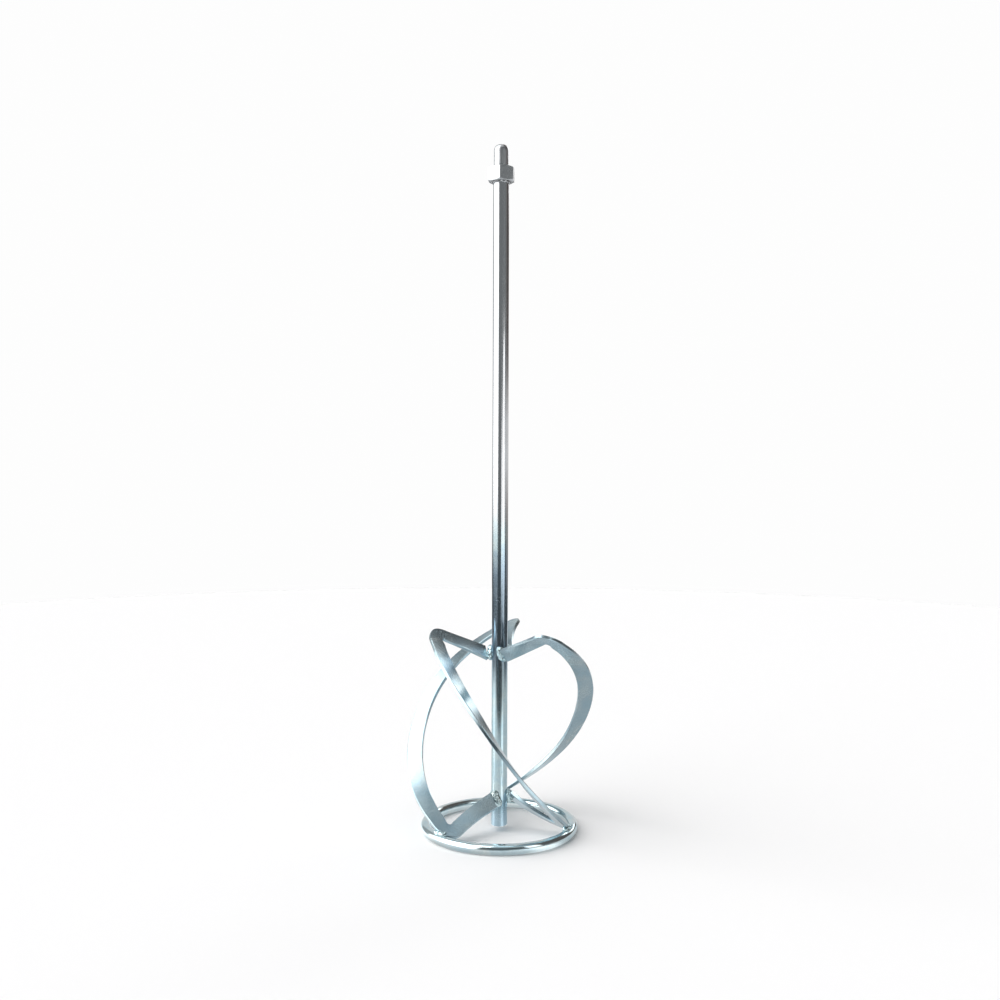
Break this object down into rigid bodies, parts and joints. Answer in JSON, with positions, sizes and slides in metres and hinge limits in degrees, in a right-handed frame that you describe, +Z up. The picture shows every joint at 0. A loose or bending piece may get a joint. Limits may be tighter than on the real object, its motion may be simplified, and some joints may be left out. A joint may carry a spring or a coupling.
{
  "type": "mortar mixing paddle",
  "caption": "Drill-driven mixing paddle: a long round shaft with a hexagon collar and plain drive shank, a cage of twisted flat blades and a base ring.",
  "frame": {"origin": "on the shaft axis, in the plane that the base ring rests on", "axes": "+Z up along the shaft towards the drive shank; +X and +Y level, with the blade that has its middle nearest +X called blade_1"},
  "size_m": [0.166, 0.1567, 0.6],
  "materials": {
    "shaft_plating": "bright zinc plate on drawn round bar",
    "collar_plating": "bright zinc plate on a turned hexagon",
    "ring_plating": "bright zinc plate on rolled round bar",
    "blade_plating": "bright zinc plate on flat bar, slightly satin",
    "weld_plating": "zinc plate over a rippled weld bead"
  },
  "bodies": {
    "root": {"shaft": "shaft_plating", "hex_collar": "collar_plating", "collar_weld": "weld_plating", "base_ring": "ring_plating", "blade_1": "blade_plating", "blade_2": "blade_plating", "blade_3": "blade_plating", "top_weld_1": "weld_plating", "foot_weld_1": "weld_plating", "ring_weld_1": "weld_plating", "top_weld_2": "weld_plating", "foot_weld_2": "weld_plating", "ring_weld_2": "weld_plating", "top_weld_3": "weld_plating", "foot_weld_3": "weld_plating", "ring_weld_3": "weld_plating"}
  },
  "joints": []
}
